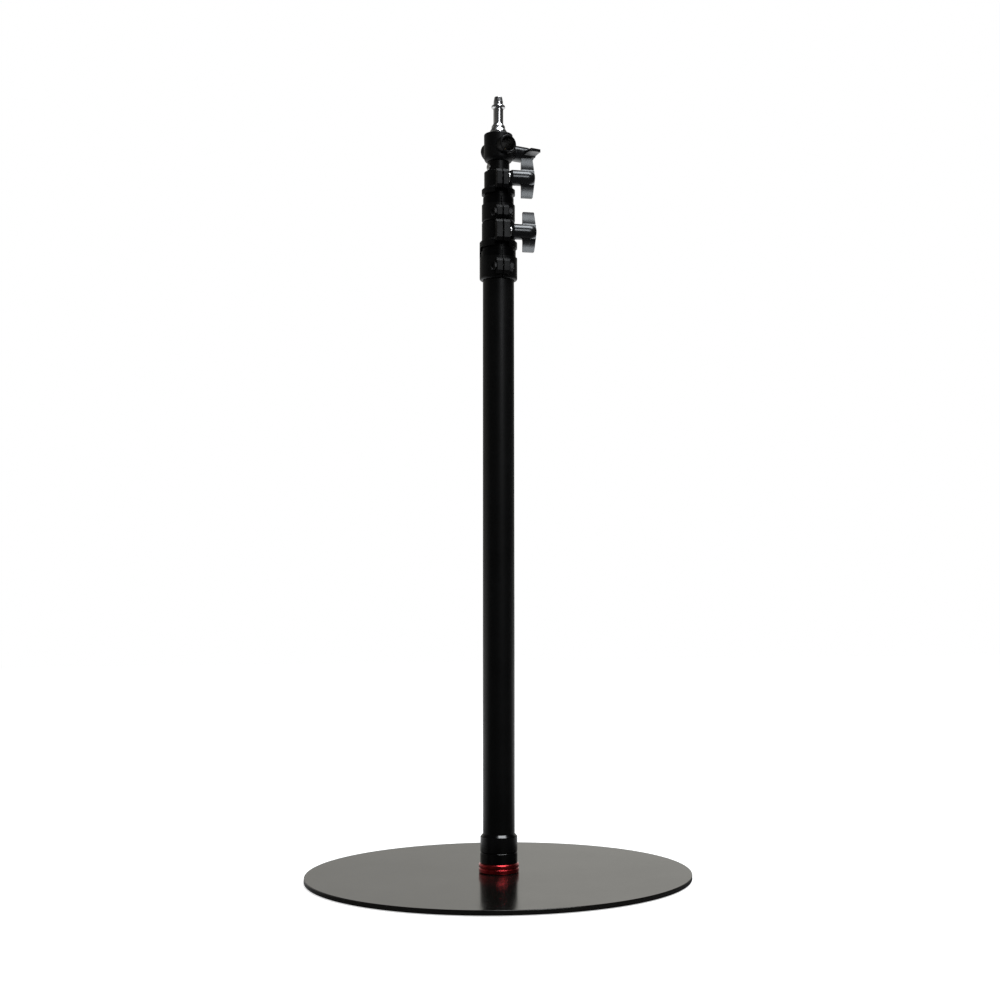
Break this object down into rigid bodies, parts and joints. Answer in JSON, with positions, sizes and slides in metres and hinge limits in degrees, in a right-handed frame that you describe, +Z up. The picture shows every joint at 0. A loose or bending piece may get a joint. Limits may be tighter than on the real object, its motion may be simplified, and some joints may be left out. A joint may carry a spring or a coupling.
{
  "type": "light stand",
  "caption": "Telescopic lighting stand on a heavy round steel base, with split clamp collars, T-handles and a socket head with a stepped spigot.",
  "frame": {"origin": "Centre of the footprint, on the floor under the round base.", "axes": "+Z up along the column; -Y is the side that the clamp ears of both collars face; +X is the side of their handles."},
  "size_m": [0.44, 0.44, 0.9071],
  "materials": {
    "powder_coat": "satin black, fine textured powder coat",
    "tube_black": "black, semi-matt coating on drawn tube",
    "casting_black": "black, semi-matt coated casting",
    "gloss_black": "black, polished",
    "bush_black": "black, moulded",
    "handle_black": "black, moulded, semi-gloss",
    "red_anodised": "crimson, anodised, turned",
    "chrome": "bright silver, polished plating",
    "zinc": "silver, zinc plated",
    "black_steel": "dark grey, blackened",
    "bare_aluminium": "silver, plain turned",
    "brass": "yellow, turned",
    "rubber": "black, matt",
    "nylon": "natural white, moulded"
  },
  "bodies": {
    "base_section": {"base_bolt": "zinc", "base_plate": "powder_coat", "base_plug": "bare_aluminium", "base_ring": "red_anodised", "foot_pad_1": "rubber", "foot_pad_2": "rubber", "foot_pad_3": "rubber", "foot_pad_4": "rubber", "lower_bush": "bush_black", "lower_clamp_bolt": "black_steel", "lower_clamp_nut": "black_steel", "lower_collar": "casting_black", "lower_grip_bolt": "zinc", "lower_sleeve": "gloss_black", "main_tube": "tube_black", "upper_sleeve": "gloss_black"},
    "middle_guide_body": {"middle_guide": "nylon"},
    "middle_section": {"middle_tube": "tube_black", "upper_collar": "casting_black", "upper_bush": "bush_black", "upper_clamp_bolt": "black_steel", "upper_clamp_nut": "black_steel", "upper_grip_bolt": "zinc"},
    "inner_guide_body": {"inner_guide": "nylon"},
    "inner_section": {"inner_tube": "tube_black", "head_body": "casting_black", "head_fixing_screw": "zinc", "spigot": "chrome"},
    "lower_washer_body": {"lower_washer": "zinc"},
    "lower_handle_body": {"lower_handle": "handle_black", "lower_handle_insert": "zinc"},
    "upper_washer_body": {"upper_washer": "zinc"},
    "upper_handle_body": {"upper_handle": "handle_black", "upper_handle_insert": "zinc"},
    "head_pad_body": {"head_pad": "brass"},
    "head_handle_body": {"head_handle": "handle_black", "head_stud": "zinc"}
  },
  "joints": [
    {"name": "middle_slide", "type": "slide", "parent": "base_section", "child": "middle_guide_body", "axis": [0, 0, 1], "range_m": [0, 0.557]},
    {"name": "middle_swivel", "type": "hinge", "parent": "middle_guide_body", "child": "middle_section", "pos_m": [0, 0, 0.1678], "axis": [0, 0, 1], "continuous": true},
    {"name": "inner_slide", "type": "slide", "parent": "middle_section", "child": "inner_guide_body", "axis": [0, 0, 1], "range_m": [0, 0.586]},
    {"name": "inner_swivel", "type": "hinge", "parent": "inner_guide_body", "child": "inner_section", "pos_m": [0, 0, 0.2018], "axis": [0, 0, 1], "continuous": true},
    {"name": "lower_washer_travel", "type": "slide", "parent": "base_section", "child": "lower_washer_body", "axis": [1, 0, 0], "range_m": [0, 0.0016]},
    {"name": "lower_handle_turn", "type": "hinge", "parent": "lower_washer_body", "child": "lower_handle_body", "pos_m": [0, -0.0242, 0.74192], "axis": [1, 0, 0], "range_deg": [0, 540]},
    {"name": "upper_washer_travel", "type": "slide", "parent": "middle_section", "child": "upper_washer_body", "axis": [1, 0, 0], "range_m": [0, 0.0016]},
    {"name": "upper_handle_turn", "type": "hinge", "parent": "upper_washer_body", "child": "upper_handle_body", "pos_m": [0, -0.0216, 0.80597], "axis": [1, 0, 0], "range_deg": [0, 540]},
    {"name": "head_pad_travel", "type": "slide", "parent": "inner_section", "child": "head_pad_body", "axis": [0.9466, 0.3223, 0], "range_m": [0, 0.0026]},
    {"name": "head_handle_turn", "type": "hinge", "parent": "head_pad_body", "child": "head_handle_body", "pos_m": [0, 0, 0.84345], "axis": [0.9466, 0.3223, 0], "range_deg": [0, 720]}
  ],
  "couplings": [
    {"joint": "lower_washer_travel", "follows": "lower_handle_turn", "m_per_rad": 0.00015915},
    {"joint": "upper_washer_travel", "follows": "upper_handle_turn", "m_per_rad": 0.00015915},
    {"joint": "head_pad_travel", "follows": "head_handle_turn", "m_per_rad": 0.00019894}
  ]
}
